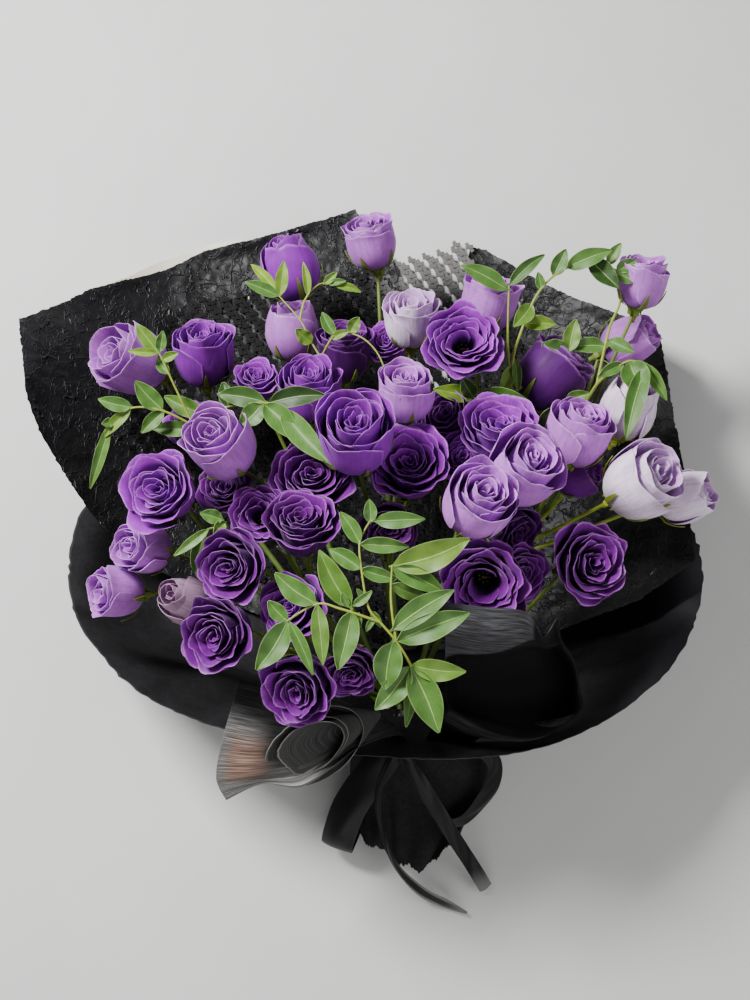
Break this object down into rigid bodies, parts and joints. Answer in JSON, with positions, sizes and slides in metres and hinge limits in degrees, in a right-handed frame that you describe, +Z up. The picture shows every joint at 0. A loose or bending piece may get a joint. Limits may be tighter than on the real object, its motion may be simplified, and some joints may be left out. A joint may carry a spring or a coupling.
{
  "type": "lisianthus bouquet",
  "caption": "Hand-tied bouquet of double lisianthus in violet and lavender with leafy vine sprays, in a flared black paper wrap tied with satin ribbon, lying on its back.",
  "frame": {"origin": "on the resting surface, in the middle of the flat of the wrap's back", "axes": "+Z up from the surface, +Y from the tie towards the flower heads, +X to the right when seen from the tie"},
  "size_m": [0.576, 0.627, 0.2909],
  "materials": {
    "petals_deep": "velvety deep violet petal",
    "petals_violet": "velvety violet petal",
    "petals_lavender": "velvety lavender petal",
    "petals_pale": "pale lavender petal",
    "petals_faded": "faded brownish lavender petal",
    "stem_green": "smooth green stem",
    "leaf_green": "soft satin leaf",
    "wrap_paper": "matte black paper",
    "embossed_paper": "black embossed paper with a slight sheen",
    "fibrous_paper": "black non-woven fibre paper",
    "lattice_mesh": "open black lattice",
    "backing_paper": "ivory paper",
    "satin_ribbon": "black satin ribbon"
  },
  "bodies": {
    "root": {"outer_wrap": "wrap_paper", "frill": "fibrous_paper", "folded_sheet": "fibrous_paper", "backing": "backing_paper", "back_sheet_right": "embossed_paper", "back_sheet_left": "embossed_paper", "mesh_lining": "lattice_mesh", "wrap_skirt": "wrap_paper", "head_lilac_centre": "petals_lavender", "head_centre_left": "petals_violet", "head_lilac_right": "petals_lavender", "head_left_ruffled": "petals_deep", "head_flat_spiral": "petals_deep", "head_low_left": "petals_deep", "head_front_open_pair": "petals_deep", "head_low_pair": "petals_deep", "head_left_lilac": "petals_lavender", "head_under_spray": "petals_violet", "head_centre_cup": "petals_lavender", "head_left_violet": "petals_violet", "head_centre": "petals_violet", "head_front_right": "petals_deep", "head_middle_pair": "petals_deep", "head_in_shadow": "petals_deep", "head_centre_right_three": "petals_violet", "head_upper_open": "petals_violet", "head_right_white": "petals_pale", "head_right_cup": "petals_lavender", "head_dark_middle": "petals_deep", "head_left_small": "petals_pale", "head_behind_lilac": "petals_deep", "head_faded": "petals_faded", "head_behind_leaves": "petals_violet", "head_pale_upper": "petals_pale", "head_far_right_top": "petals_lavender", "head_left_low_bud": "petals_lavender", "head_right_pale": "petals_pale", "head_dark_bell": "petals_deep", "head_far_right": "petals_pale", "head_left_hidden": "petals_violet", "head_small_right": "petals_violet", "head_far_left": "petals_lavender", "head_small_back": "petals_violet", "head_upper_bell": "petals_lavender", "head_behind_pair": "petals_deep", "head_left_cup": "petals_violet", "head_top": "petals_lavender", "head_right_bud": "petals_lavender", "head_upper_left": "petals_lavender", "head_top_left": "petals_violet", "stems": "stem_green", "spray_front": "leaf_green", "spray_left": "leaf_green", "spray_middle": "leaf_green", "spray_top": "leaf_green", "spray_centre": "leaf_green", "spray_right": "leaf_green", "spray_low": "leaf_green", "ribbon_tie": "satin_ribbon"}
  },
  "joints": []
}
